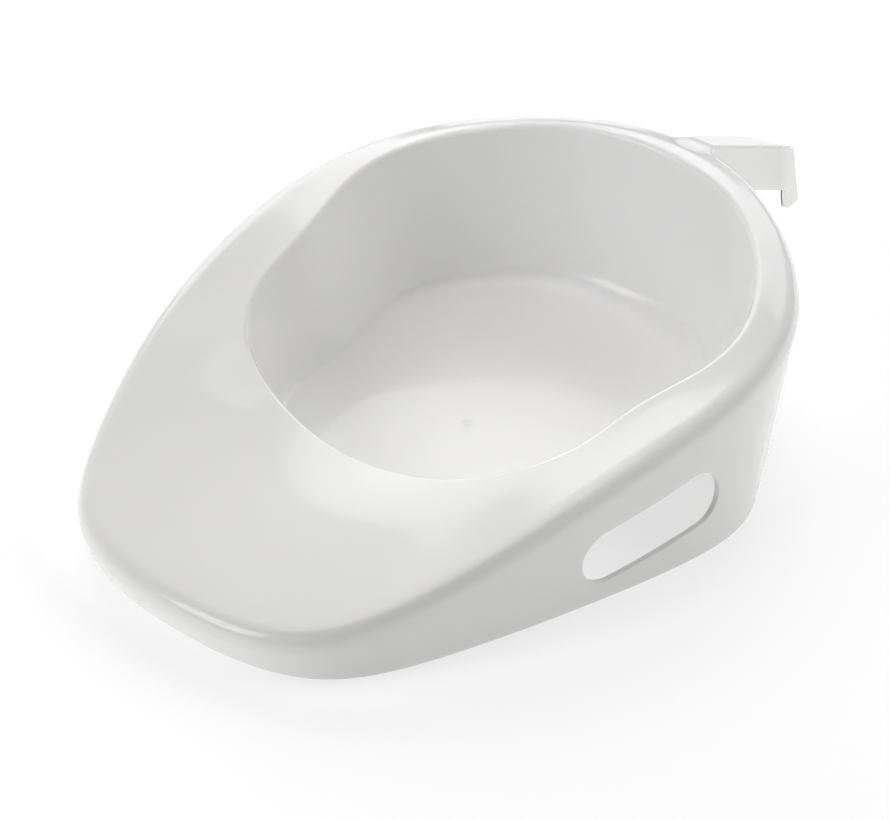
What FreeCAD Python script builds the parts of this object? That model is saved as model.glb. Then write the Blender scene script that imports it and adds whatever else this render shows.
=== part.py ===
import FreeCAD, Part

import math
import os

Vector = FreeCAD.Vector

# A wedge-shaped bedpan moulded in one thickness of plastic: a low front lip, a seat that
# rises to the back, a keyhole opening with a flat-floored bowl under it, a skirt that the
# pan stands on, with a hand slot in each side, and a drooping hook handle at the back.
# Frame: X across the pan, +Y towards the handle, +Z up, the ground at Z = 0.

# --- Driving dimensions, in millimetres and degrees ---

WALL = 3.0                    # wall thickness of the whole moulding
FLOOR_TOP = 6.0               # inner face of the bowl's floor above the ground
EDGE_RADIUS = 2.2             # rounding of the opening's edge
CREST_RADIUS = 10.0           # rounding between the seat and the skirt
FRONT_FILLET = 5.0            # fillet between the bowl's floor and wall at the front
REAR_FILLET = 15.0            # the same fillet at the back of the bowl
LEVEL_SHARE = 0.4             # share of the seat's width that tips from level to its slope

# The centre of the opening's round rear lobe, which every other place is measured from,
# lies this far behind the middle of the part's length.
LOBE_CENTRE_Y = 9.5

# Every section of the moulding stands upright on a spoke from this point of the centre line.
SPINE_Y = -35.0

# Control points of the right half of each outline, from the front to the back, measured
# from the centre of the opening's rear lobe. The left half mirrors them.
FLOOR = ((0, -112), (45, -105), (76, -93), (90, -66), (90, -27), (99, 14), (94, 56), (53, 99), (0, 110))
OPENING = ((0, -126), (51, -118), (85, -106), (107, -69), (108, -27), (124, 15), (113, 65), (60, 118), (0, 129))
CREST = ((0, -256), (72, -245), (102, -199), (129, -136), (144, -66), (150, 11), (133, 80), (69, 138), (0, 163))
BASE = ((0, -244), (81, -234), (112, -172), (143, -72), (159, 3), (135, 38), (114, 80), (71, 105), (0, 112))

# Heights of the opening's edge and of the seat's crest at the same control points.
OPENING_HEIGHTS = (40, 46, 60, 66, 75, 80, 86, 93, 94)
CREST_HEIGHTS = (23, 25, 36, 56, 75, 78, 80, 84, 88)

# Plan angles, round from the front, where the front and rear portions of the bowl's wall,
# of the seat and of the skirt meet the side portions.
FRONT_CUT = 40.0
REAR_CUT = 130.0

# Hand slots, one through each side of the skirt.
SLOT_LENGTH = 84.0
SLOT_HEIGHT = 29.0
SLOT_TILT = 7.5               # rises towards the back
SLOT_CENTRE_Y = -55.5
SLOT_CENTRE_Z = 30.0

# Hook handle: an inverted channel that droops backwards. Its right web is an L-shaped plate
# that ends in a turned-down lip; its top tapers off to that plate; its left web is shorter.
# Each point is a (Y, Z) pair of its side view, measured from the rear lobe's centre.
HANDLE_WIDTH = 17.0
HANDLE_START = (136.0, 92.2)      # where its top leaves the rim
HANDLE_KNEE = (151.0, 89.2)       # where its top bends down
HANDLE_END = (222.0, 54.3)        # top corner of the lip
KNEE_RADIUS = 40.0
END_RADIUS = 5.0
FLARE_Y = 155.0                   # the handle widens in front of this, at 45 degrees
FLARE_RADIUS = 12.0               # plan rounding where the widening starts
TAPER_Y = 198.5                   # the top's left edge turns towards the lip here
TAPER_END_Y = 220.5               # and meets the right web's outer face here
WEB_DEPTH = 27.8                  # upright depth of the side webs
LIP_BOTTOM_Z = 17.0
LIP_FRONT_Y = 206.0               # the lip's node starts here
LIP_DEPTH = 12.0                  # width of the turned-down lip, front to back
LIP_LEAN = 10.5                   # the lip leans backwards from upright
LIP_ROUNDING = 2.0                # corners of the lip and of the arm's inner bend

# Resolution of the lofts.
HALF_STATIONS = 36            # spokes on each side of the pan
ARC_STEPS = 4                 # rings across a rounding, less one
SEAT_STEPS = 5                # rings across the seat, less one
HALVINGS = 40                 # steps taken to find where an outline crosses a spoke

EXTENT = 600.0                # larger than the pan in every direction


# --- Outlines ---

def closed_outline(half, heights):
    """The control points of a whole outline from its right half, front to back."""
    right = [Vector(x, y, z) for (x, y), z in zip(half, heights)]
    left = [Vector(-p.x, p.y, p.z) for p in reversed(right[1:-1])]
    return right + left


def spline_point(control, position):
    """The point at this position, counted in control points, on a closed cubic B-spline."""
    index = int(math.floor(position))
    t = position - index
    weights = (
        (1 - t) ** 3 / 6,
        (3 * t ** 3 - 6 * t ** 2 + 4) / 6,
        (-3 * t ** 3 + 3 * t ** 2 + 3 * t + 1) / 6,
        t ** 3 / 6,
    )
    point = Vector()
    for offset, weight in enumerate(weights):
        point += control[(index - 1 + offset) % len(control)] * weight
    return point


def spoke_turn(point):
    """Plan angle of the spoke through a point, from 0 at the front to pi at the back."""
    return math.atan2(point.x, SPINE_Y - point.y)


def point_on_spoke(control, turn):
    """The point where an outline's right half crosses the spoke, found by halving."""
    low, high = 0.0, len(control) / 2
    for _ in range(HALVINGS):
        middle = (low + high) / 2
        if spoke_turn(spline_point(control, middle)) < turn:
            low = middle
        else:
            high = middle
    return spline_point(control, low)


def outline_points(half, heights):
    """The points where an outline crosses all the spokes, round from the front."""
    control = closed_outline(half, heights)
    turns = [math.pi * step / HALF_STATIONS for step in range(1, HALF_STATIONS)]
    right = [point_on_spoke(control, turn) for turn in turns]
    left = [Vector(-p.x, p.y, p.z) for p in reversed(right)]
    front, rear = spline_point(control, 0), spline_point(control, len(control) / 2)
    return [front] + right + [rear] + left


# --- The section at one station: a bent line through floor, opening, crest and base ---

def unit(vector):
    return vector / vector.Length


def level(vector):
    return Vector(vector.x, vector.y, 0)


def half_angle(towards_a, towards_b):
    return towards_a.getAngle(towards_b) / 2


def offset_corner(corner, towards_a, towards_b, distance):
    """The corner moved to the inside of its angle, so that both sides shift by the distance."""
    middle = unit(unit(towards_a) + unit(towards_b))
    return corner + middle * (distance / math.sin(half_angle(towards_a, towards_b)))


def corner_arc(corner, towards_a, towards_b, radius):
    """Points on the arc of this radius between the two sides of a corner."""
    side_a, side_b = unit(towards_a), unit(towards_b)
    half = half_angle(side_a, side_b)
    centre = corner + unit(side_a + side_b) * (radius / math.sin(half))
    start = corner + side_a * (radius / math.tan(half)) - centre
    end = corner + side_b * (radius / math.tan(half)) - centre
    turn = math.pi - 2 * half
    points = []
    for step in range(ARC_STEPS + 1):
        share = step / ARC_STEPS
        swing = start * math.sin((1 - share) * turn) + end * math.sin(share * turn)
        points.append(centre + swing / math.sin(turn))
    return points


def seat_fall(share):
    """How much of the seat's fall is reached at this share of its width: level, then sloping."""
    if share < LEVEL_SHARE:
        fall = share ** 2 / (2 * LEVEL_SHARE)
    else:
        fall = share - LEVEL_SHARE / 2
    return fall / (1 - LEVEL_SHARE / 2)


def seat_point(edge, crest, share):
    point = edge + (crest - edge) * share
    point.z = edge.z + (crest.z - edge.z) * seat_fall(share)
    return point


def seat_end_direction(edge, crest):
    """Direction of the seat's slope where it meets the crest, pointing to the opening."""
    direction = edge - crest
    direction.z = direction.z / (1 - LEVEL_SHARE / 2)
    return direction


def seat_points(edge, crest, first, last):
    """Points across the seat between the end of the edge's arc and the start of the crest's."""
    width = level(crest - edge).Length
    start = level(first - edge).Length / width
    end = level(last - edge).Length / width
    shares = [start + (end - start) * step / SEAT_STEPS for step in range(1, SEAT_STEPS)]
    return [first] + [seat_point(edge, crest, share) for share in shares] + [last]


def section(floor, edge, crest, base, floor_radius, edge_radius, crest_radius):
    """The bands of one section, each a list of points, from the bowl's floor to the base."""
    inwards = level(floor - crest)
    seat_level = level(crest - edge)
    fillet = corner_arc(floor, inwards, edge - floor, floor_radius)
    rounding = corner_arc(edge, floor - edge, seat_level, edge_radius)
    shoulder = corner_arc(crest, seat_end_direction(edge, crest), base - crest, crest_radius)
    return {
        "floor_fillet": fillet,
        "wall": [fillet[-1], rounding[0]],
        "edge": rounding,
        "seat": seat_points(edge, crest, rounding[-1], shoulder[0]),
        "crest": shoulder,
        "skirt": [shoulder[-1], base],
    }


def inner_section(floor, edge, crest, base, floor_radius):
    """The same section one wall thickness inside the moulding."""
    inwards = level(floor - crest)
    seat_level = level(crest - edge)
    inner_floor = offset_corner(floor, inwards, edge - floor, -WALL)
    inner_edge = offset_corner(edge, floor - edge, seat_level, WALL)
    inner_crest = offset_corner(crest, seat_end_direction(edge, crest), base - crest, WALL)
    skirt = base - crest
    inner_base = inner_crest + skirt * ((inner_crest.z - base.z) / -skirt.z)
    return section(inner_floor, inner_edge, inner_crest, inner_base,
                   floor_radius + WALL, WALL / 2, CREST_RADIUS - WALL)


def fillet_radius(floor):
    """The bowl's fillet grows from the front to the back."""
    front_y, rear_y = FLOOR[0][1], FLOOR[-1][1]
    share = (floor.y - front_y) / (rear_y - front_y)
    return FRONT_FILLET + (REAR_FILLET - FRONT_FILLET) * min(max(share, 0), 1) ** 2


def all_sections():
    """The outer and inner sections at every station."""
    count = len(BASE)
    floors = outline_points(FLOOR, [FLOOR_TOP] * count)
    edges = outline_points(OPENING, OPENING_HEIGHTS)
    crests = outline_points(CREST, CREST_HEIGHTS)
    bases = outline_points(BASE, [0] * count)
    outer, inner = [], []
    for floor, edge, crest, base in zip(floors, edges, crests, bases):
        radius = fillet_radius(floor)
        outer.append(section(floor, edge, crest, base, radius, EDGE_RADIUS, CREST_RADIUS))
        inner.append(inner_section(floor, edge, crest, base, radius))
    return outer, inner


# --- Rings, bands and solids ---

def ring_wire(points):
    curve = Part.BSplineCurve()
    curve.interpolate(Points=points, PeriodicFlag=True)
    return Part.Wire([curve.toShape()])


def ring_wires(sections, band):
    """One closed wire for each row of points of a band."""
    rows = len(sections[0][band])
    return [ring_wire([section_at[band][row] for section_at in sections]) for row in range(rows)]


def skin(wires):
    """The surface through a stack of rings, straight between two and smooth through more."""
    return Part.makeLoft(wires, False, len(wires) == 2).Faces


def solid_from_faces(faces):
    shell = Part.Shell(faces)
    shell.sewShape()
    solid = Part.Solid(shell)
    if solid.Volume < 0:
        solid.reverse()
    return solid


def band_solid(outer, inner, bands, flat_foot=False):
    """The ring-shaped solid between the outer and inner skins over neighbouring bands."""
    faces = []
    outer_rings, inner_rings = [], []
    for band in bands:
        wires = ring_wires(outer, band)
        faces += skin(wires)
        outer_rings += [wires[0], wires[-1]]
        wires = ring_wires(inner, band)
        faces += skin(wires)
        inner_rings += [wires[0], wires[-1]]
    faces += skin([outer_rings[0], inner_rings[0]])
    if flat_foot:
        faces += Part.Face(outer_rings[-1]).cut(Part.Face(inner_rings[-1])).Faces
    else:
        faces += skin([outer_rings[-1], inner_rings[-1]])
    return solid_from_faces(faces)


def floor_solid(outer):
    """The flat floor of the bowl, inside its rounded corner."""
    top = ring_wires(outer, "floor_fillet")[0]
    return Part.Face(top).extrude(Vector(0, 0, -WALL))


# --- Parts of the ring-shaped solids ---

def wedge(start_turn, end_turn):
    """An upright wedge about the spine, between two plan angles counted from the front."""
    centre = Vector(0, SPINE_Y, -EXTENT)
    corners = [centre]
    for angle in (start_turn, (start_turn + end_turn) / 2, end_turn):
        turn = math.radians(angle)
        corners.append(centre + Vector(math.sin(turn), -math.cos(turn), 0) * 2 * EXTENT)
    face = Part.Face(Part.makePolygon(corners + [centre]))
    return face.extrude(Vector(0, 0, 2 * EXTENT))


def quarters(solid):
    """Front, right, rear and left portions of a ring-shaped solid."""
    return {
        "front": solid.common(wedge(-FRONT_CUT, FRONT_CUT)),
        "right": solid.common(wedge(FRONT_CUT, REAR_CUT)),
        "rear": solid.common(wedge(REAR_CUT, 360 - REAR_CUT)),
        "left": solid.common(wedge(360 - REAR_CUT, 360 - FRONT_CUT)),
    }


def slot_cutter():
    """A bar with round ends that runs across the whole pan at the height of the hand slots."""
    radius = SLOT_HEIGHT / 2
    reach = SLOT_LENGTH / 2 - radius
    lower_left, lower_right = Vector(0, -reach, -radius), Vector(0, reach, -radius)
    upper_left, upper_right = Vector(0, -reach, radius), Vector(0, reach, radius)
    outline = Part.Wire([
        Part.LineSegment(lower_left, lower_right).toShape(),
        Part.Arc(lower_right, Vector(0, reach + radius, 0), upper_right).toShape(),
        Part.LineSegment(upper_right, upper_left).toShape(),
        Part.Arc(upper_left, Vector(0, -reach - radius, 0), lower_left).toShape(),
    ])
    bar = Part.Face(outline).extrude(Vector(EXTENT, 0, 0))
    bar.translate(Vector(-EXTENT / 2, 0, 0))
    bar.rotate(Vector(), Vector(1, 0, 0), SLOT_TILT)
    bar.translate(Vector(0, SLOT_CENTRE_Y, SLOT_CENTRE_Z))
    return bar


# --- The handle, drawn in its side view ---

def side_point(pair, x=0):
    y, z = pair
    return Vector(x, y, z)


def filleted_wire(points, radii):
    """A closed wire through the points, each corner rounded by its radius, or sharp for 0."""
    edges, ends = [], []
    count = len(points)
    for i, (corner, radius) in enumerate(zip(points, radii)):
        before, after = points[i - 1] - corner, points[(i + 1) % count] - corner
        if radius == 0:
            ends.append((corner, corner))
            continue
        arc = corner_arc(corner, before, after, radius)
        edges.append(Part.Arc(arc[0], arc[ARC_STEPS // 2], arc[-1]).toShape())
        ends.append((arc[0], arc[-1]))
    for i in range(count):
        edges.append(Part.LineSegment(ends[i - 1][1], ends[i][0]).toShape())
    return Part.Wire(Part.sortEdges(edges)[0])


def side_plate(points, radii, x_from, x_to):
    """A plate with this side view between two values of X."""
    face = Part.Face(filleted_wire([side_point(pair, x_from) for pair in points], radii))
    return face.extrude(Vector(x_to - x_from, 0, 0))


def lip_y(z, back_of_lip):
    """Y of the lip's back or front face at this height."""
    end_y, end_z = HANDLE_END
    y = end_y + (end_z - z) * math.tan(math.radians(LIP_LEAN))
    return y if back_of_lip else y - LIP_DEPTH


def lowered(pair, depth):
    return (pair[0], pair[1] - depth)


def arm_slope():
    """Rise over run of the arm behind its knee; negative, because the arm droops."""
    return (HANDLE_END[1] - HANDLE_KNEE[1]) / (HANDLE_END[0] - HANDLE_KNEE[0])


def on_arm(knee, y):
    """The point at this Y on the arm's line through a lowered knee."""
    return (y, knee[1] + arm_slope() * (y - knee[0]))


def handle_outline(depth):
    """Side view of the whole handle, its arm this deep, with its lip."""
    under_knee = lowered(HANDLE_KNEE, depth)
    inner = on_arm(under_knee, lip_y(HANDLE_END[1] - depth, False))
    points = [HANDLE_START, HANDLE_KNEE, HANDLE_END, (lip_y(LIP_BOTTOM_Z, True), LIP_BOTTOM_Z),
              (lip_y(LIP_BOTTOM_Z, False), LIP_BOTTOM_Z), inner, under_knee,
              lowered(HANDLE_START, depth)]
    lip_corners = [LIP_ROUNDING] * 3
    return points, [0, KNEE_RADIUS, END_RADIUS] + lip_corners + [0, 0]


def hollow_outline():
    """Side view of everything that lies one wall under the arm's top."""
    wall_drop = WALL * math.hypot(1, arm_slope())
    start, knee = lowered(HANDLE_START, wall_drop), lowered(HANDLE_KNEE, wall_drop)
    end = on_arm(knee, EXTENT / 2)
    points = [start, knee, end, (end[0], -EXTENT), (start[0], -EXTENT)]
    return points, [0, KNEE_RADIUS - WALL, 0, 0, 0]


def handle_plan():
    """An upright prism with the plan outline of the handle's top, flared at the rim."""
    half = HANDLE_WIDTH / 2
    root_y = HANDLE_START[0]
    wide = half + FLARE_Y - root_y
    outline = [Vector(-half, TAPER_Y, 0), Vector(half, TAPER_END_Y, 0), Vector(half, FLARE_Y, 0),
               Vector(wide, root_y, 0), Vector(-wide, root_y, 0), Vector(-half, FLARE_Y, 0)]
    wire = filleted_wire(outline, [0, 0, FLARE_RADIUS, 0, 0, FLARE_RADIUS])
    return Part.Face(wire).extrude(Vector(0, 0, EXTENT))


def slab(x_from):
    """Everything between this X and one wall thickness to its right."""
    return Part.makeBox(WALL, EXTENT, EXTENT, Vector(x_from, 0, 0))


def handle(pan_block):
    """Top skin, two side webs and lip of the hook handle, cut flush with the pan."""
    half = HANDLE_WIDTH / 2
    body = side_plate(*handle_outline(WEB_DEPTH), -EXTENT / 2, EXTENT / 2).cut(pan_block)
    hollow = side_plate(*hollow_outline(), -EXTENT / 2, EXTENT / 2)
    top = body.cut(hollow).common(handle_plan())
    under = body.common(hollow)
    right_plate = body.common(slab(half - WALL)).cut(top)
    lip_box = Part.makeBox(EXTENT, EXTENT, EXTENT, Vector(-EXTENT / 2, LIP_FRONT_Y, 0))
    return {
        "handle_top": top,
        "handle_web_left": under.common(handle_plan()).common(slab(-half)),
        "handle_web_right": right_plate.cut(lip_box),
        "hook_lip": right_plate.common(lip_box),
    }


# --- The moulding's portions ---

def bowl(outer, inner):
    portions = quarters(band_solid(outer, inner, ["wall"]))
    return {
        "bowl_floor": floor_solid(outer),
        "bowl_corner": band_solid(outer, inner, ["floor_fillet"]),
        "bowl_wall_front": portions["front"],
        "bowl_wall_right": portions["right"],
        "bowl_wall_rear": portions["rear"],
        "bowl_wall_left": portions["left"],
    }


def seat(outer, inner):
    portions = quarters(band_solid(outer, inner, ["edge", "seat", "crest"]))
    return {
        "seat_front_apron": portions["front"],
        "seat_right": portions["right"],
        "seat_rear_rim": portions["rear"],
        "seat_left": portions["left"],
    }


def skirt(outer, inner):
    portions = quarters(band_solid(outer, inner, ["skirt"], flat_foot=True))
    cutter = slot_cutter()
    return {
        "skirt_front": portions["front"],
        "skirt_right": portions["right"].cut(cutter),
        "skirt_rear": portions["rear"],
        "skirt_left": portions["left"].cut(cutter),
    }


def pan_block(outer):
    """Everything inside the pan's outer face, filled down to the ground."""
    faces = []
    for band in ("floor_fillet", "wall", "edge", "seat", "crest", "skirt"):
        wires = ring_wires(outer, band)
        faces += skin(wires)
    floor_wire = ring_wires(outer, "floor_fillet")[0]
    faces += [Part.Face(floor_wire), Part.Face(wires[-1])]
    return solid_from_faces(faces)


def build_all():
    outer, inner = all_sections()
    parts = {}
    parts.update(bowl(outer, inner))
    parts.update(seat(outer, inner))
    parts.update(skirt(outer, inner))
    parts.update(handle(pan_block(outer)))
    return parts


os.makedirs("parts", exist_ok=True)
for node, shape in build_all().items():
    shape.translate(Vector(0, LOBE_CENTRE_Y, 0))
    shape.exportStep("parts/" + node + ".step")
    print(node, shape.isValid(), len(shape.Solids), round(shape.Volume), shape.BoundBox)
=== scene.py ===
import math

import bpy
import numpy as np
from mathutils import Matrix, Vector


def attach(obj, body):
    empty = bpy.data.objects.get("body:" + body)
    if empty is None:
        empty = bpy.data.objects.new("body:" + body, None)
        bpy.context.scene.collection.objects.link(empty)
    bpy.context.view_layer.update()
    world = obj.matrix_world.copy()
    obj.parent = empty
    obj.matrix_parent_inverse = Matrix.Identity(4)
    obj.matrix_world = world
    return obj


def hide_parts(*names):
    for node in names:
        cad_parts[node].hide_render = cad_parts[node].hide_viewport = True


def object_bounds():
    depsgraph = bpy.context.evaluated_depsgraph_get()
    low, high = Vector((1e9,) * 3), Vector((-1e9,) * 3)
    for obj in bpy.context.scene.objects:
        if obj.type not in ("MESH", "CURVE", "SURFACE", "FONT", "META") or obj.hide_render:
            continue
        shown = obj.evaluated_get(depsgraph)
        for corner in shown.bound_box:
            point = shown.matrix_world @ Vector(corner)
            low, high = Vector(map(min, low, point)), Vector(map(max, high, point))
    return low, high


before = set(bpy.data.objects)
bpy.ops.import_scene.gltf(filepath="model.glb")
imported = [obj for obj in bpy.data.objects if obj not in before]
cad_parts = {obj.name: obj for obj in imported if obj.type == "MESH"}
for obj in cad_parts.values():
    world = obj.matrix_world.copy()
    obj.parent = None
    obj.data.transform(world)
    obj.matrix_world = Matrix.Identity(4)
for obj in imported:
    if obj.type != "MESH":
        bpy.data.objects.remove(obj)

# A wedge-shaped bedpan: one glossy, slightly translucent white moulding on a pale floor.
# All lengths are in millimetres, measured from the centre of the opening's rear lobe,
# until a mesh is made. Frame: X across the pan, +Y towards the handle, +Z up.

cad_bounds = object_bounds()

MM = 0.001

# --- The pan's driving dimensions, as in the CAD model ---

WALL = 3.0
FLOOR_TOP = 6.0
EDGE_RADIUS = 3.2             # the opening's edge, a little rounder than in the CAD model
CREST_RADIUS = 10.0
FRONT_FILLET = 5.0
REAR_FILLET = 15.0
LEVEL_SHARE = 0.4             # share of the seat's width that tips from level to its slope
BASE_ROUNDING = 0.9           # corners of the skirt's lower edge
SPINE_Y = -35.0               # every section stands upright on a spoke from here

# Control points of the right half of each outline, from the front to the back.
FLOOR = (
    (0, -112), (45, -105), (76, -93), (90, -66), (90, -27),
    (99, 14), (94, 56), (53, 99), (0, 110),
)
OPENING = (
    (0, -126), (51, -118), (85, -106), (107, -69), (108, -27),
    (124, 15), (113, 65), (60, 118), (0, 129),
)
CREST = (
    (0, -256), (72, -245), (102, -199), (129, -136), (144, -66),
    (150, 11), (133, 80), (69, 138), (0, 163),
)
BASE = (
    (0, -244), (81, -234), (112, -172), (143, -72), (159, 3),
    (135, 38), (114, 80), (71, 105), (0, 112),
)

# Heights of the opening's edge and of the seat's crest at the same control points.
OPENING_HEIGHTS = (40, 46, 60, 66, 75, 80, 86, 93, 94)
CREST_HEIGHTS = (23, 25, 36, 56, 75, 78, 80, 84, 88)

SLOT_LENGTH = 84.0
SLOT_HEIGHT = 29.0
SLOT_TILT = math.radians(7.5)
SLOT_CENTRE = np.array([-55.5, 30.0])      # Y and Z
SLOT_ROUNDING = 1.1

HANDLE_HALF_WIDTH = 8.5
HANDLE_START = (134.0, 92.6)
HANDLE_KNEE = (151.0, 89.2)
HANDLE_END = (222.0, 54.3)
KNEE_RADIUS = 40.0
END_RADIUS = 5.0
WEB_DEPTH = 27.8
LIP_BOTTOM_Z = 17.0
LIP_DEPTH = 12.0
LIP_LEAN = math.radians(10.5)
LIP_ROUNDING = 1.4
LIP_CUT = 0.4                 # what the rounding takes off the lip's reach
ROOT_FILLET = 4.0             # where the handle's webs spread into the pan
TOP_FILLET = 10.0             # the same where its top spreads into the rim
TOP_FILLET_Z = 84.0           # the fillet grows above this height
TOP_FILLET_RISE = 6.0
CROWN = 2.0                   # how far the spread top's sides sink into the rim
HANDLE_EDGE = 2.4             # rounding along the handle's top edges
RIM = 1.0                     # rounding of the webs' lower edges
TAPER_Y = 197.5               # the top's left edge turns towards the lip here
TAPER_SLOPE = 0.9             # how much it moves across per millimetre backwards
TAPER_SOFTNESS = 1.5
CURL_LENGTH = 9.0             # the lip's back edge curls inwards over this length
CURL_RADIUS = 60.0
FAN_START_Y = 212.0           # the arm's sections start to turn down to the lip here
FAN_END_Z = 26.0
FAN_ROWS = 26

HANDLE_REACH = HANDLE_END[0] + (HANDLE_END[1] - LIP_BOTTOM_Z) * math.tan(LIP_LEAN) - LIP_CUT
LOBE_Y = cad_bounds[1][1] / MM - HANDLE_REACH          # the rear lobe's centre in the part's frame

GATE_Y = -29.0                # the moulding's gate mark, in the middle of the bowl's floor
GATE_RINGS = ((1.1, 0.10), (1.5, -0.05), (2.0, -0.30), (2.6, -0.32), (3.1, -0.05), (3.6, 0.0))
GATE_CENTRE_RISE = 0.12

# --- Mesh resolution ---

STATIONS = 360                # spokes round the pan
SLOT_FROM, SLOT_TO = 58, 110  # stations between which the right-hand slot lies
SKIRT_ROWS = 16
FLOOR_ROWS = 14
WALL_ROWS = 10
SEAT_ROWS = 24
INNER_FLOOR_ROWS = 8
INNER_WALL_ROWS = 8
INNER_SEAT_ROWS = 12
FILLET_STEPS = 8
EDGE_STEPS = 8
CREST_STEPS = 10
FOOT_STEPS = 4
QUARTER_POINTS = 6            # points round the small quarter turns of the slots and the handle
SPLINE_SAMPLES = 2001         # points that an outline is sampled at to find the spokes
SLOT_RINGS = 10
RING_CROWDING = 0.8           # under 1, the rings crowd towards the slot's edge
PATCH_LENGTH = 60.0           # the rays to the slot's edge take its patch to be this long
PATCH_HEIGHT = 30.0
NEARLY_ZERO = 1e-9

HANDLE_ROW_GAP = 1.2
KNEE_STEPS = 8
END_STEPS = 10
BEND_STEPS = 6
LIP_END_POINTS = 7
TOP_SHARES = (0.17, 0.33, 0.5, 0.67, 0.83)             # places of the points across the top
OUTSIDE_SHARES = (0.15, 0.3, 0.45, 0.6, 0.75, 0.9)     # and down the outside of a web
INSIDE_SHARES = (0.8, 0.5)                             # and up its inside
NARROW_LIMIT = 2.1            # the edge's rounding stays under the top's width over this
HANDLE_STATIONS = 30          # spokes from the rear one that the handle may meet

# --- Studio, in metres, and camera ---

STUDIO_HALF_WIDTH = 3.0
STUDIO_SQUARES = 8
PAN_MIDDLE = (0, 0, 0.05)     # where the large lights point

CAMERA_PLACE = np.array([1277.0, -1477.8, 1453.7])     # millimetres from the rear lobe's centre
CAMERA_AZIMUTH = math.radians(41.73)
CAMERA_ELEVATION = math.radians(36.70)
CAMERA_ROLL = math.radians(0.41)
CAMERA_LENS = 193.1
CAMERA_SENSOR = 36.0


# --- Outlines ---

def spline_points(control, positions):
    """Points at these positions, counted in control points, on a closed cubic B-spline."""
    index = np.floor(positions).astype(int)
    t = (positions - index)[:, None]
    weights = (
        (1 - t) ** 3 / 6,
        (3 * t ** 3 - 6 * t ** 2 + 4) / 6,
        (-3 * t ** 3 + 3 * t ** 2 + 3 * t + 1) / 6,
        t ** 3 / 6,
    )
    return sum(w * control[(index - 1 + k) % len(control)] for k, w in enumerate(weights))


def ring(half, heights):
    """The points where an outline crosses the spokes, round from the front."""
    right = np.column_stack([np.array(half, float), np.array(heights, float)])
    control = np.vstack([right, right[1:-1][::-1] * [-1, 1, 1]])
    positions = np.linspace(0, len(control) / 2, SPLINE_SAMPLES)
    points = spline_points(control, positions)
    turns = np.arctan2(points[:, 0], SPINE_Y - points[:, 1])
    spokes = np.linspace(0, math.pi, STATIONS // 2 + 1)
    found = spline_points(control, np.interp(spokes, turns, positions))
    return np.vstack([found, found[1:-1][::-1] * [-1, 1, 1]])


# --- The section at every station, as rows of points ---

def unit(vectors):
    return vectors / np.linalg.norm(vectors, axis=-1, keepdims=True)


def level(vectors):
    return vectors * [1, 1, 0]


def half_angle(a, b):
    cosine = np.sum(unit(a) * unit(b), axis=-1, keepdims=True)
    return np.arccos(np.clip(cosine, -1, 1)) / 2


def offset_corner(corner, a, b, distance):
    """The corner moved inside its angle, so that both sides shift by the distance."""
    return corner + unit(unit(a) + unit(b)) * (distance / np.sin(half_angle(a, b)))


def corner_arc(corner, a, b, radius, steps):
    """Rows of points on the arc of this radius between the two sides of a corner."""
    a, b = unit(a), unit(b)
    half = half_angle(a, b)
    centre = corner + unit(a + b) * (radius / np.sin(half))
    start = corner + a * (radius / np.tan(half)) - centre
    end = corner + b * (radius / np.tan(half)) - centre
    turn = math.pi - 2 * half
    rows = []
    for share in np.linspace(0, 1, steps + 1):
        swept = start * np.sin((1 - share) * turn) + end * np.sin(share * turn)
        rows.append(centre + swept / np.sin(turn))
    return rows


def between(start, end, steps):
    """Rows strictly between two rows, evenly spaced."""
    return [start + (end - start) * k / steps for k in range(1, steps)]


def seat_rows(edge, crest, first, last, steps):
    """Rows across the seat: level beside the opening, then sloping to the crest."""
    width = np.linalg.norm(level(crest - edge), axis=1)
    start = np.linalg.norm(level(first - edge), axis=1) / width
    end = np.linalg.norm(level(last - edge), axis=1) / width
    rows = []
    for k in range(1, steps):
        share = start + (end - start) * k / steps
        fall = np.where(share < LEVEL_SHARE, share ** 2 / (2 * LEVEL_SHARE), share - LEVEL_SHARE / 2)
        fall = fall / (1 - LEVEL_SHARE / 2)
        row = edge + (crest - edge) * share[:, None]
        row[:, 2] = edge[:, 2] + (crest[:, 2] - edge[:, 2]) * fall
        rows.append(row)
    return rows


def seat_slope(edge, crest):
    """Direction of the seat where it meets the crest, pointing to the opening."""
    slope = edge - crest
    slope[:, 2] /= 1 - LEVEL_SHARE / 2
    return slope


class Section:
    """One skin of the moulding: its corners and the arcs that round them."""

    def __init__(self, floor, edge, crest, base, radii):
        floor_radius, edge_radius, crest_radius = radii
        self.floor, self.edge, self.crest, self.base = floor, edge, crest, base
        outwards = level(crest - edge)
        slope = seat_slope(edge, crest)
        self.fillet = corner_arc(floor, level(floor - crest), edge - floor, floor_radius, FILLET_STEPS)
        self.rounding = corner_arc(edge, floor - edge, outwards, edge_radius, EDGE_STEPS)
        self.shoulder = corner_arc(crest, slope, base - crest, crest_radius, CREST_STEPS)


def outer_section():
    count = len(BASE)
    floor = ring(FLOOR, [FLOOR_TOP] * count)
    share = np.clip((floor[:, 1:2] - FLOOR[0][1]) / (FLOOR[-1][1] - FLOOR[0][1]), 0, 1)
    fillet = FRONT_FILLET + (REAR_FILLET - FRONT_FILLET) * share ** 2
    radii = (fillet, EDGE_RADIUS, CREST_RADIUS)
    edge, crest = ring(OPENING, OPENING_HEIGHTS), ring(CREST, CREST_HEIGHTS)
    return Section(floor, edge, crest, ring(BASE, [0] * count), radii), fillet


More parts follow.
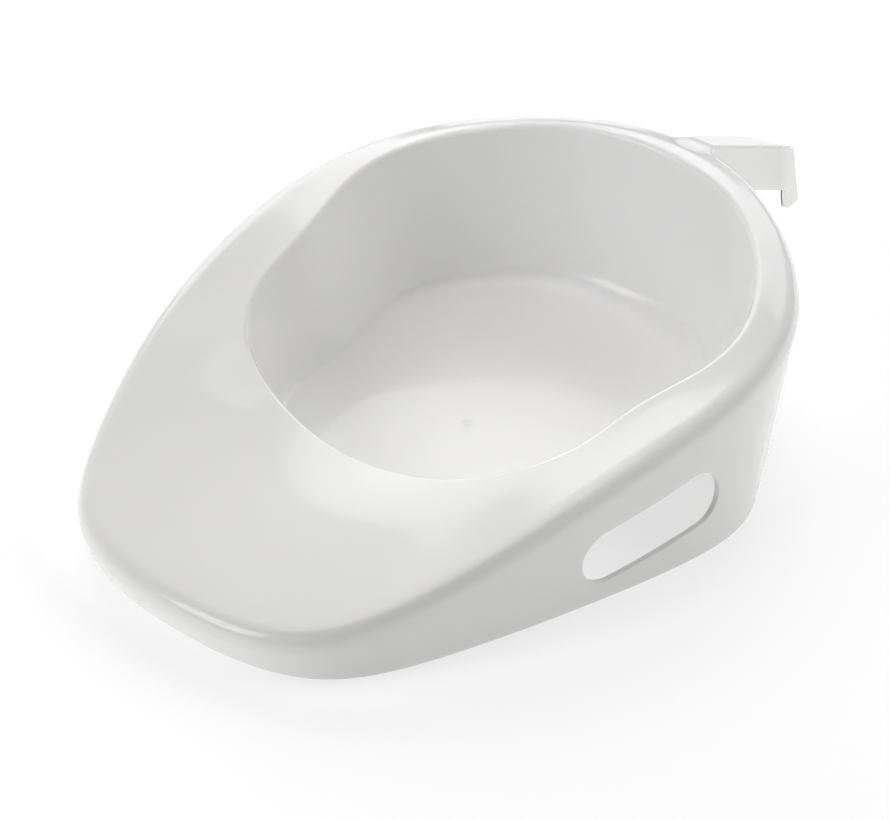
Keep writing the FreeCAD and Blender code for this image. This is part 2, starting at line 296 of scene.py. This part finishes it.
def inner_section(outer, fillet):
    """The section one wall thickness inside the moulding."""
    floor, edge, crest, base = outer.floor, outer.edge, outer.crest, outer.base
    inner_floor = offset_corner(floor, level(floor - crest), edge - floor, -WALL)
    inner_edge = offset_corner(edge, floor - edge, level(crest - edge), WALL)
    inner_crest = offset_corner(crest, seat_slope(edge, crest), base - crest, WALL)
    skirt = base - crest
    inner_base = inner_crest + skirt * (inner_crest[:, 2:] / -skirt[:, 2:])
    radii = (fillet + WALL, WALL / 2, CREST_RADIUS - WALL)
    return Section(inner_floor, inner_edge, inner_crest, inner_base, radii)


# --- Meshes ---

class Mesh:
    """Vertices and faces gathered before a Blender mesh is made."""

    def __init__(self):
        self.points = []
        self.faces = []

    def add_row(self, row):
        """Adds a row of points and returns their numbers."""
        first = len(self.points)
        self.points.extend(row)
        return list(range(first, first + len(row)))

    def strip(self, row_a, row_b, skip=()):
        """Quads between two closed rows of vertex numbers, except at the skipped places."""
        count = len(row_a)
        for i in range(count):
            if i in skip:
                continue
            j = (i + 1) % count
            self.faces.append((row_a[i], row_a[j], row_b[j], row_b[i]))

    def fan(self, row, centre):
        """Triangles from a closed row of vertex numbers to one vertex."""
        for i in range(len(row)):
            self.faces.append((row[i], row[(i + 1) % len(row)], centre))

    def build(self, name, material):
        points = (np.array(self.points) + [0, LOBE_Y, 0]) * MM
        mesh = bpy.data.meshes.new(name)
        mesh.from_pydata(points.tolist(), [], self.faces)
        mesh.validate()
        mesh.materials.append(material)
        mesh.polygons.foreach_set("use_smooth", [True] * len(mesh.polygons))
        piece = bpy.data.objects.new(name, mesh)
        bpy.context.scene.collection.objects.link(piece)
        weighted = piece.modifiers.new("even_shading", "WEIGHTED_NORMAL")
        weighted.weight = 80
        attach(piece, "root")
        return piece


# --- Hand slots: a patch of rings between the skirt's grid and the slot's edge ---

class SkirtSide:
    """The flat band of the right-hand skirt between two stations, seen from the side."""

    def __init__(self, top, foot):
        self.stations = np.arange(SLOT_FROM, SLOT_TO + 1)
        self.top, self.foot = top[self.stations], foot[self.stations]

    def point(self, station, drop):
        """The point at a station, whole or between two, and a share of the way down."""
        place = station - SLOT_FROM
        top = np.array([np.interp(place, range(len(self.top)), self.top[:, k]) for k in range(3)])
        foot = np.array([np.interp(place, range(len(self.foot)), self.foot[:, k]) for k in range(3)])
        return top + (foot - top) * drop

    def locate(self, side_view):
        """Station and drop of the point with this Y and Z."""
        y, z = side_view
        drops = (z - self.top[:, 2]) / (self.foot[:, 2] - self.top[:, 2])
        ys = self.top[:, 1] + drops * (self.foot[:, 1] - self.top[:, 1])
        return np.interp(y, ys, self.stations), np.interp(y, ys, drops)

    def on_surface(self, side_view):
        return self.point(*self.locate(side_view))


def slot_edge(side_view):
    """The slot's edge point on the ray to a point of the side view, and its outward normal."""
    along = np.array([math.cos(SLOT_TILT), math.sin(SLOT_TILT)])
    up = np.array([-along[1], along[0]])
    offset = side_view - SLOT_CENTRE
    ray = np.array([offset @ along / PATCH_LENGTH * SLOT_LENGTH, offset @ up / PATCH_HEIGHT * SLOT_HEIGHT])
    radius = SLOT_HEIGHT / 2
    reach = SLOT_LENGTH / 2 - radius
    scale = radius / max(abs(ray[1]), NEARLY_ZERO)
    if abs(ray[0]) * scale <= reach:
        hit, normal = ray * scale, np.array([0, np.sign(ray[1])])
    else:
        centre = np.array([reach * np.sign(ray[0]), 0])
        direction = ray / np.linalg.norm(ray)
        nearest = direction @ centre
        hit = direction * (nearest + math.sqrt(radius ** 2 - centre @ centre + nearest ** 2))
        normal = (hit - centre) / radius
    return SLOT_CENTRE + hit[0] * along + hit[1] * up, normal[0] * along + normal[1] * up


def slot_loops(outer_side, inner_side, border):
    """Loops of points from the outer border, over the slot's rounded edge, to the inner border."""
    edges = [slot_edge(outer_side.point(*place)[1:]) for place in border]
    loops = []
    for side, outwards in ((outer_side, 1), (inner_side, -1)):
        part = []
        for ring_number in range(1, SLOT_RINGS):
            share = (ring_number / SLOT_RINGS) ** RING_CROWDING
            loop = []
            for place, (edge, normal) in zip(border, edges):
                near = side.locate(edge + normal * SLOT_ROUNDING)
                mixed = [place[k] + (near[k] - place[k]) * share for k in range(2)]
                loop.append(side.point(*mixed))
            part.append(loop)
        for turn in np.linspace(0, math.pi / 2, QUARTER_POINTS):
            spread = SLOT_ROUNDING * (1 - math.sin(turn))
            depth = SLOT_ROUNDING * (1 - math.cos(turn))
            loop = []
            for edge, normal in edges:
                point = side.on_surface(edge + normal * spread)
                loop.append(point - np.array([outwards * depth, 0, 0]))
            part.append(loop)
        loops.append(part)
    return loops[0] + loops[1][::-1]


def border_places():
    """Station and drop of each grid point round the slot's patch, starting at its upper front."""
    drops = [row / SKIRT_ROWS for row in range(SKIRT_ROWS + 1)]
    stations = range(SLOT_FROM, SLOT_TO + 1)
    places = [(s, 0.0) for s in stations]
    places += [(SLOT_TO, d) for d in drops[1:]]
    places += [(s, 1.0) for s in reversed(stations[:-1])]
    places += [(SLOT_FROM, d) for d in reversed(drops[1:-1])]
    return places


def add_slot(mesh, loops, outer_rows, inner_rows, places, mirrored):
    """Joins the loops of one slot to the grid rows of the two skins."""
    def grid_number(rows, place):
        station, drop = place
        row = rows[int(round(drop * SKIRT_ROWS))]
        return row[(STATIONS - station) % STATIONS if mirrored else station]

    flip = np.array([-1, 1, 1]) if mirrored else np.array([1, 1, 1])
    numbers = [[grid_number(outer_rows, place) for place in places]]
    numbers += [mesh.add_row([point * flip for point in loop]) for loop in loops]
    numbers.append([grid_number(inner_rows, place) for place in places])
    for row_a, row_b in zip(numbers, numbers[1:]):
        if not mirrored:
            row_a, row_b = row_b, row_a
        mesh.strip(row_a, row_b)


# --- The pan ---

def floor_rows(first, steps):
    """Rows across the bowl's floor, from the gate mark at its middle out to the fillet."""
    centre = np.array([0, GATE_Y, FLOOR_TOP])
    direction = unit(level(first - centre))
    rows = [centre + direction * radius + [0, 0, height] for radius, height in GATE_RINGS]
    return rows + between(rows[-1], first, steps)


def pan_mesh(outer, inner):
    mesh = Mesh()
    skirt_top, inner_top = outer.shoulder[-1], inner.shoulder[-1]
    inwards = level(inner.base - outer.base)
    foot = corner_arc(outer.base, outer.crest - outer.base, inwards, BASE_ROUNDING, FOOT_STEPS)
    inner_foot = corner_arc(inner.base, -inwards, inner.crest - inner.base, BASE_ROUNDING, FOOT_STEPS)

    upper = floor_rows(outer.fillet[0], FLOOR_ROWS) + outer.fillet
    upper += between(outer.fillet[-1], outer.rounding[0], WALL_ROWS) + outer.rounding
    upper += seat_rows(outer.edge, outer.crest, outer.rounding[-1], outer.shoulder[0], SEAT_ROWS)
    upper += outer.shoulder[:-1]
    skirt = [skirt_top] + between(skirt_top, foot[0], SKIRT_ROWS) + [foot[0]]
    under = foot[1:] + inner_foot[:-1]
    inner_skirt = [inner_foot[-1]] + between(inner_foot[-1], inner_top, SKIRT_ROWS) + [inner_top]
    lower = inner.shoulder[:-1][::-1]
    lower += seat_rows(inner.edge, inner.crest, inner.rounding[-1], inner.shoulder[0], INNER_SEAT_ROWS)[::-1]
    lower += inner.rounding[::-1]
    lower += between(inner.rounding[0], inner.fillet[-1], INNER_WALL_ROWS) + inner.fillet[::-1]
    under_middle = np.array([0, GATE_Y, FLOOR_TOP - WALL])
    lower += between(inner.fillet[0], np.tile(under_middle, (STATIONS, 1)), INNER_FLOOR_ROWS)

    upper_numbers = [mesh.add_row(row) for row in upper]
    skirt_numbers = [mesh.add_row(row) for row in skirt]
    under_numbers = [mesh.add_row(row) for row in under]
    inner_numbers = [mesh.add_row(row) for row in inner_skirt]
    lower_numbers = [mesh.add_row(row) for row in lower]
    everything = upper_numbers + skirt_numbers + under_numbers + inner_numbers + lower_numbers

    right_hole = range(SLOT_FROM, SLOT_TO)
    left_hole = [STATIONS - 1 - station for station in right_hole]
    hole = set(right_hole) | set(left_hole)
    for row_a, row_b in zip(everything, everything[1:]):
        in_skirt = row_a in skirt_numbers and row_b in skirt_numbers
        in_inner = row_a in inner_numbers and row_b in inner_numbers
        mesh.strip(row_b, row_a, hole if in_skirt or in_inner else ())
    gate_middle = [0, GATE_Y, FLOOR_TOP + GATE_CENTRE_RISE]
    top_centre, under_centre = mesh.add_row([gate_middle, under_middle])
    mesh.fan(everything[0], top_centre)
    mesh.fan(everything[-1][::-1], under_centre)

    places = border_places()
    loops = slot_loops(SkirtSide(skirt_top, foot[0]), SkirtSide(inner_top, inner_foot[-1]), places)
    for mirrored in (False, True):
        add_slot(mesh, loops, skirt_numbers, inner_numbers[::-1], places, mirrored)
    return mesh


# --- The hook handle: a channel section swept along the arm and down the lip ---

def side_arc(before, corner, after, radius, steps):
    """Points of the arc that rounds a corner in the side view."""
    before, corner, after = (np.array([point], float) for point in (before, corner, after))
    return [row[0] for row in corner_arc(corner, before - corner, after - corner, radius, steps)]


def spaced(points, gap):
    """The points of a side-view line, with more put between any that lie far apart."""
    out = [points[0]]
    for a, b in zip(points, points[1:]):
        steps = max(1, int(np.linalg.norm(b - a) / gap))
        out += [a + (b - a) * k / steps for k in range(1, steps + 1)]
    return out


def lip_back(z):
    return np.array([HANDLE_END[0] + (HANDLE_END[1] - z) * math.tan(LIP_LEAN), z])


def along(points, count):
    """Evenly spaced points along a side-view line."""
    points = np.array(points)
    steps = np.r_[0, np.cumsum(np.linalg.norm(np.diff(points, axis=0), axis=1))]
    wanted = np.linspace(0, steps[-1], count)
    return list(np.column_stack([np.interp(wanted, steps, points[:, k]) for k in range(2)]))


def handle_rows():
    """For each section of the sweep: the points on its top, under its skin and at its rim."""
    start, knee, end = (np.array(point) for point in (HANDLE_START, HANDLE_KNEE, HANDLE_END))
    slope = (end[1] - knee[1]) / (end[0] - knee[0])
    drop = np.array([0, -WALL * math.hypot(1, slope)])

    def on_arm(y, lowered=0.0):
        return np.array([y, knee[1] + slope * (y - knee[0]) - lowered])

    bent = side_arc(start, knee, end, KNEE_RADIUS, KNEE_STEPS)
    arm = spaced([start] + bent + [on_arm(FAN_START_Y)], HANDLE_ROW_GAP)
    channel = [(point, point + drop, point - [0, WEB_DEPTH]) for point in arm]

    back = side_arc(knee, end, lip_back(0), END_RADIUS, END_STEPS)
    depth = np.array([LIP_DEPTH, 0])
    inner_z = end[1] - WEB_DEPTH
    corner = on_arm(lip_back(inner_z)[0] - LIP_DEPTH, WEB_DEPTH)
    rim_start = on_arm(FAN_START_Y, WEB_DEPTH)
    bend = side_arc(rim_start, corner, lip_back(0) - depth, LIP_ROUNDING, BEND_STEPS)
    tops = along([on_arm(FAN_START_Y)] + back + [lip_back(FAN_END_Z)], FAN_ROWS)
    rims = along([rim_start] + bend + [lip_back(FAN_END_Z) - depth], FAN_ROWS)
    plate = [(top, top, rim) for top, rim in zip(tops, rims)]

    for z in np.arange(FAN_END_Z - HANDLE_ROW_GAP, LIP_BOTTOM_Z + LIP_ROUNDING, -HANDLE_ROW_GAP):
        plate.append((lip_back(z), lip_back(z), lip_back(z) - depth))
    for turn in np.linspace(0, math.pi / 2, LIP_END_POINTS):
        inset = np.array([LIP_ROUNDING * (1 - math.cos(turn)), 0])
        z = LIP_BOTTOM_Z + LIP_ROUNDING * (1 - math.sin(turn))
        plate.append((lip_back(z) - inset, lip_back(z) - inset, lip_back(z) - depth + inset))
    return channel, plate


def right_face(y, z):
    """X of the handle's right face, which curls inwards at the lip's back edge."""
    leaned_back = max(0.0, HANDLE_END[1] - z) * math.tan(LIP_LEAN)
    past = max(0.0, y - leaned_back - (HANDLE_END[0] - CURL_LENGTH))
    return HANDLE_HALF_WIDTH - CURL_RADIUS + math.sqrt(CURL_RADIUS ** 2 - past ** 2)


def left_face(y, z):
    """X of the handle's left face, which turns across to the lip behind the taper's start."""
    turned = TAPER_SLOPE * max(0.0, y - TAPER_Y)
    softened = turned ** 2 / (turned + TAPER_SOFTNESS)
    return min(softened - HANDLE_HALF_WIDTH, right_face(y, z) - WALL)


def half_section(with_hollow):
    """One side of the section: which face each point keeps to, how far in, and its depth."""
    quarter = np.linspace(0, math.pi / 2, QUARTER_POINTS)
    points = [("edge", 1 - math.sin(t), "edge", 1 - math.cos(t)) for t in quarter]
    points += [("wall", 0.0, "middle", share) for share in OUTSIDE_SHARES]
    points += [("wall", RIM * (1 - math.cos(t)), "rim", RIM * (1 - math.sin(t))) for t in quarter]
    if with_hollow:
        points += [("inner", 0.0, "rim", 0.0)]
        points += [("inner", 0.0, "middle", share) for share in INSIDE_SHARES]
        points += [("inner", 0.0, "skin", 0.0)]
    return points


def rear_profile(outer):
    """Y of the pan's outer surface behind the opening at each height, on the centre line."""
    station = STATIONS // 2
    rows = seat_rows(outer.edge, outer.crest, outer.rounding[-1], outer.shoulder[0], SEAT_ROWS)
    rows += outer.shoulder + [outer.base]
    line = np.array([row[station][1:] for row in rows])[::-1]
    return line[:, 1], line[:, 0]


def handle_mesh(outer):
    heights, skin_ys = rear_profile(outer)
    crest = outer.crest[STATIONS // 2 - HANDLE_STATIONS:STATIONS // 2 + 1]

    def skin_y(x, z):
        round_the_back = np.interp(-abs(x), -crest[:, 0], crest[:, 1]) - crest[-1, 1]
        return np.interp(z, heights, skin_ys) + round_the_back

    def placed(row, point, side):
        keeps_to, inset, part, depth = point
        top, skin, rim = row
        down = unit(rim - top)
        left, right = left_face(*top), right_face(*top)
        rounding = min(HANDLE_EDGE, (right - left) / NARROW_LIMIT)
        if part == "top":
            y, z = top
        elif part == "edge":
            y, z = top + down * depth * rounding
        elif part == "rim":
            y, z = rim - down * depth
        elif part == "skin":
            y, z = skin
        else:
            y, z = top + (rim - top) * depth
        left, right = left_face(y, z), right_face(y, z)
        if keeps_to == "edge":
            inset = inset * rounding
        elif keeps_to == "inner":
            inset = WALL
        if keeps_to == "across":
            x = left + rounding + (right - left - 2 * rounding) * inset
        elif side > 0:
            x = right - inset
        elif keeps_to == "inner":
            x = min(left + inset * (1 + TAPER_SLOPE ** 2 * (y > TAPER_Y) / 2), right - WALL)
        else:
            x = left + inset
        gap = y - skin_y(x, z)
        share = min(1.0, max(0.0, (z - TOP_FILLET_Z) / TOP_FILLET_RISE))
        fillet = ROOT_FILLET + (TOP_FILLET - ROOT_FILLET) * share
        inside = fillet - min(max(gap, 0.0), fillet)
        spread = fillet - math.sqrt(fillet ** 2 - inside ** 2)
        x = x + spread * x / HANDLE_HALF_WIDTH
        near_rim = 1 - min(max(gap, 0.0), TOP_FILLET) / TOP_FILLET
        z = z - CROWN * near_rim * (x / (HANDLE_HALF_WIDTH + TOP_FILLET)) ** 2
        y = max(y, skin_y(x, z) - WALL / 2)
        return np.array([x, y, z])

    def loop(row, with_hollow):
        half = half_section(with_hollow)
        over = [placed(row, ("across", share, "top", 0.0), 1) for share in TOP_SHARES]
        right = [placed(row, point, 1) for point in half]
        left = [placed(row, point, -1) for point in half]
        if not with_hollow:
            under = [placed(row, ("inner", 0.0, "rim", 0.0), 1)]
            return right + under + left[::-1] + over
        ceiling = [right[-1] + (left[-1] - right[-1]) * share for share in TOP_SHARES]
        return right + ceiling + left[::-1] + over

    channel, plate = handle_rows()
    mesh = Mesh()
    numbers = [mesh.add_row(loop(row, True)) for row in channel]
    for row_a, row_b in zip(numbers, numbers[1:]):
        mesh.strip(row_a, row_b)
    mesh.faces.append(tuple(numbers[0][::-1]))
    numbers = [mesh.add_row(loop(row, False)) for row in plate]
    for row_a, row_b in zip(numbers, numbers[1:]):
        mesh.strip(row_a, row_b)
    mesh.faces.append(tuple(numbers[-1]))
    return mesh


# --- Materials ---

def node(tree, kind, **inputs):
    """A new node with some inputs set; an underscore stands for a space in an input's name."""
    made = tree.nodes.new(kind)
    for name, value in inputs.items():
        made.inputs[name.replace("_", " ")].default_value = value
    return made


def noise(tree, place, scale, detail):
    """A noise texture over the points that the given output says."""
    made = node(tree, "ShaderNodeTexNoise", Scale=scale, Detail=detail)
    tree.links.new(place, made.inputs["Vector"])
    return made


def map_range(tree, source, low, high, from_low=0.3, from_high=0.7):
    """Spreads the values between from_low and from_high over low to high."""
    made = node(tree, "ShaderNodeMapRange")
    for name, value in (("From Min", from_low), ("From Max", from_high), ("To Min", low), ("To Max", high)):
        made.inputs[name].default_value = value
    tree.links.new(source, made.inputs["Value"])
    return made


def bump(tree, height, strength, distance, normal=None):
    made = node(tree, "ShaderNodeBump", Strength=strength, Distance=distance)
    tree.links.new(height, made.inputs["Height"])
    if normal is not None:
        tree.links.new(normal, made.inputs["Normal"])
    return made


def pan_plastic():
    """Glossy white polypropylene: a little light passes through, with faint wear and ripple."""
    material = bpy.data.materials.new("pan_plastic")
    material.use_nodes = True
    tree = material.node_tree
    shader = tree.nodes["Principled BSDF"]
    place = tree.nodes.new("ShaderNodeTexCoord").outputs["Object"]

    tint = noise(tree, place, scale=6.0, detail=2.0)
    ramp = tree.nodes.new("ShaderNodeValToRGB")
    ramp.color_ramp.elements[0].position = 0.35
    ramp.color_ramp.elements[0].color = (0.825, 0.822, 0.813, 1)
    ramp.color_ramp.elements[1].position = 0.65
    ramp.color_ramp.elements[1].color = (0.845, 0.843, 0.836, 1)
    tree.links.new(tint.outputs["Fac"], ramp.inputs["Fac"])
    tree.links.new(ramp.outputs["Color"], shader.inputs["Base Color"])

    smears = noise(tree, place, scale=22.0, detail=4.0)
    gloss = map_range(tree, smears.outputs["Fac"], low=0.07, high=0.12)

    streaks = node(tree, "ShaderNodeMapping", Scale=(1.0, 0.12, 0.5), Rotation=(0.3, 0.2, 0.6))
    tree.links.new(place, streaks.inputs["Vector"])
    scuffs = noise(tree, streaks.outputs["Vector"], scale=420.0, detail=5.0)
    wear = map_range(tree, scuffs.outputs["Fac"], low=0.0, high=0.10, from_low=0.60, from_high=0.75)
    roughness = tree.nodes.new("ShaderNodeMath")
    tree.links.new(gloss.outputs["Result"], roughness.inputs[0])
    tree.links.new(wear.outputs["Result"], roughness.inputs[1])
    tree.links.new(roughness.outputs["Value"], shader.inputs["Roughness"])

    ripple = noise(tree, place, scale=18.0, detail=2.0)
    grain = noise(tree, place, scale=1400.0, detail=3.0)
    soft = bump(tree, ripple.outputs["Fac"], strength=0.25, distance=0.0006)
    fine = bump(tree, grain.outputs["Fac"], strength=0.06, distance=0.0001, normal=soft.outputs["Normal"])
    tree.links.new(fine.outputs["Normal"], shader.inputs["Normal"])

    shader.inputs["IOR"].default_value = 1.49
    shader.inputs["Subsurface Weight"].default_value = 0.8
    shader.inputs["Subsurface Radius"].default_value = (1.0, 0.97, 0.9)
    shader.inputs["Subsurface Scale"].default_value = 0.004
    return material


def floor_material():
    """Plain white paper with an even glow, like a light table under the pan."""
    material = bpy.data.materials.new("studio_floor")
    material.use_nodes = True
    tree = material.node_tree
    shader = tree.nodes["Principled BSDF"]
    place = tree.nodes.new("ShaderNodeTexCoord").outputs["Object"]
    mottle = noise(tree, place, scale=3.0, detail=2.0)
    roughness = map_range(tree, mottle.outputs["Fac"], low=0.55, high=0.65)
    tree.links.new(roughness.outputs["Result"], shader.inputs["Roughness"])
    shader.inputs["Base Color"].default_value = (0.55, 0.55, 0.55, 1)
    shader.inputs["Emission Color"].default_value = (1, 1, 1, 1)
    shader.inputs["Emission Strength"].default_value = 0.545
    shader.inputs["Specular IOR Level"].default_value = 0.1
    return material


# --- Studio: floor, lights and camera ---

def studio_floor():
    mesh = bpy.data.meshes.new("studio_floor")
    lines = STUDIO_SQUARES + 1
    places = np.linspace(-STUDIO_HALF_WIDTH, STUDIO_HALF_WIDTH, lines)
    points = [(x, y, 0) for x in places for y in places]
    faces = []
    for i in range(STUDIO_SQUARES):
        for j in range(STUDIO_SQUARES):
            corner = i * lines + j
            faces.append((corner, corner + lines, corner + lines + 1, corner + 1))
    mesh.from_pydata(points, [], faces)
    mesh.materials.append(floor_material())
    floor = bpy.data.objects.new("studio_floor", mesh)
    bpy.context.scene.collection.objects.link(floor)


def area_light(name, place, size, power, target=PAN_MIDDLE, reflected=True, spread=180):
    """A rectangular light aimed at the target; its spread is in degrees."""
    data = bpy.data.lights.new(name, "AREA")
    data.shape = "RECTANGLE"
    data.size, data.size_y = size
    data.energy = power
    data.spread = math.radians(spread)
    light = bpy.data.objects.new(name, data)
    bpy.context.scene.collection.objects.link(light)
    light.location = place
    aim = np.array(target) - np.array(place)
    light.rotation_euler = Vector(aim.tolist()).to_track_quat("-Z", "Y").to_euler()
    light.visible_glossy = reflected


def studio_lights():
    """Large soft lights all round, and a faint narrow one into the back of the bowl."""
    for share in (1.0, 0.8, 0.6):       # nested, so that the reflection's border is soft
        size = (3.6 * share, 2.0 * share)
        area_light("back_softbox", (-1.7, 1.9, 1.5), size, power=38 * share ** 2)
    area_light("overhead_softbox", (-0.1, 0.0, 2.2), (1.6, 1.6), power=11)
    area_light("front_fill", (-0.9, -2.35, 1.4), (1.25, 1.25), power=20)
    area_light("left_fill", (-1.9, -1.75, 1.3), (1.8, 1.8), power=20, reflected=False)
    area_light("right_softbox", (1.5, 1.7, 1.3), (1.6, 1.6), power=26, reflected=False)
    area_light("bowl_fill", (0.78, -0.87, 0.94), (0.15, 0.15), power=0.032,
               target=(-0.05, 0.1, 0.065), reflected=False, spread=13)


def world_light(strength):
    world = bpy.data.worlds.new("studio_world")
    bpy.context.scene.world = world
    world.use_nodes = True
    background = world.node_tree.nodes["Background"]
    background.inputs["Color"].default_value = (1, 1, 1, 1)
    background.inputs["Strength"].default_value = strength


def studio_camera():
    a, e, r = CAMERA_AZIMUTH, CAMERA_ELEVATION, CAMERA_ROLL
    back = np.array([math.sin(a) * math.cos(e), -math.cos(a) * math.cos(e), math.sin(e)])
    right = unit(np.cross(-back, [0, 0, 1]))
    up = np.cross(right, -back)
    right, up = math.cos(r) * right + math.sin(r) * up, -math.sin(r) * right + math.cos(r) * up
    place = (CAMERA_PLACE + [0, LOBE_Y, 0]) * MM
    data = bpy.data.cameras.new("camera")
    data.lens = CAMERA_LENS
    data.sensor_width = CAMERA_SENSOR
    camera = bpy.data.objects.new("camera", data)
    bpy.context.scene.collection.objects.link(camera)
    matrix = np.eye(4)
    matrix[:3, 0], matrix[:3, 1], matrix[:3, 2], matrix[:3, 3] = right, up, back, place
    camera.matrix_world = Matrix(matrix.tolist())
    bpy.context.scene.camera = camera


# --- Scene ---

plastic = pan_plastic()
outer_skin, floor_fillet = outer_section()
inner_skin = inner_section(outer_skin, floor_fillet)

pan = pan_mesh(outer_skin, inner_skin).build("pan", plastic)
handle_nodes = ("handle_top", "handle_web_left", "handle_web_right", "hook_lip")
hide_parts(*[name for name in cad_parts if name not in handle_nodes])

hook = handle_mesh(outer_skin).build("hook_handle", plastic)
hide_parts(*handle_nodes)

studio_floor()
studio_camera()
bpy.context.scene.view_settings.view_transform = "Standard"
world_light(0.03)
studio_lights()
